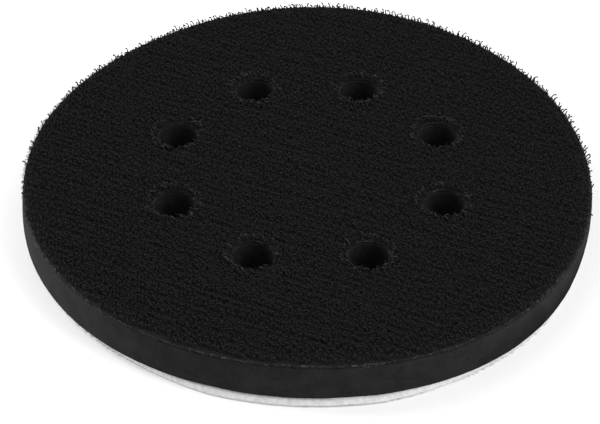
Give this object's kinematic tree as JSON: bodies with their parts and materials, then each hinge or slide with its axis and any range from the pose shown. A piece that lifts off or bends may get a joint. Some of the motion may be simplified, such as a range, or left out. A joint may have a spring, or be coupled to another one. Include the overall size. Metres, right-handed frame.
{
  "type": "sander interface pad",
  "caption": "Round soft foam interface pad with a hook face, a brushed loop back and a ring of dust holes, for a random-orbital sander.",
  "frame": {"origin": "centre of the tool-side loop face, where the pad rests on a surface", "axes": "+Z from the tool side to the hook face; +X midway between two dust holes"},
  "size_m": [0.127, 0.127, 0.0122],
  "materials": {
    "loop_nylon": "off-white brushed nylon loop",
    "adhesive_film": "thin satin film",
    "foam": "matt fine-celled polyurethane foam",
    "hook_nylon": "black woven nylon with monofilament hooks"
  },
  "bodies": {
    "tool_side": {"loop_pile": "loop_nylon", "loop_cloth": "loop_nylon", "loop_adhesive": "adhesive_film", "foam_core": "foam"},
    "work_face": {"hook_adhesive": "adhesive_film", "hook_cloth": "hook_nylon", "hook_pile": "hook_nylon"}
  },
  "joints": [
    {"name": "pad_compression", "type": "slide", "parent": "tool_side", "child": "work_face", "axis": [0, 0, -1], "range_m": [0, 0.003], "stiffness_N_per_m": 50000, "deforming": ["foam_core"]}
  ]
}
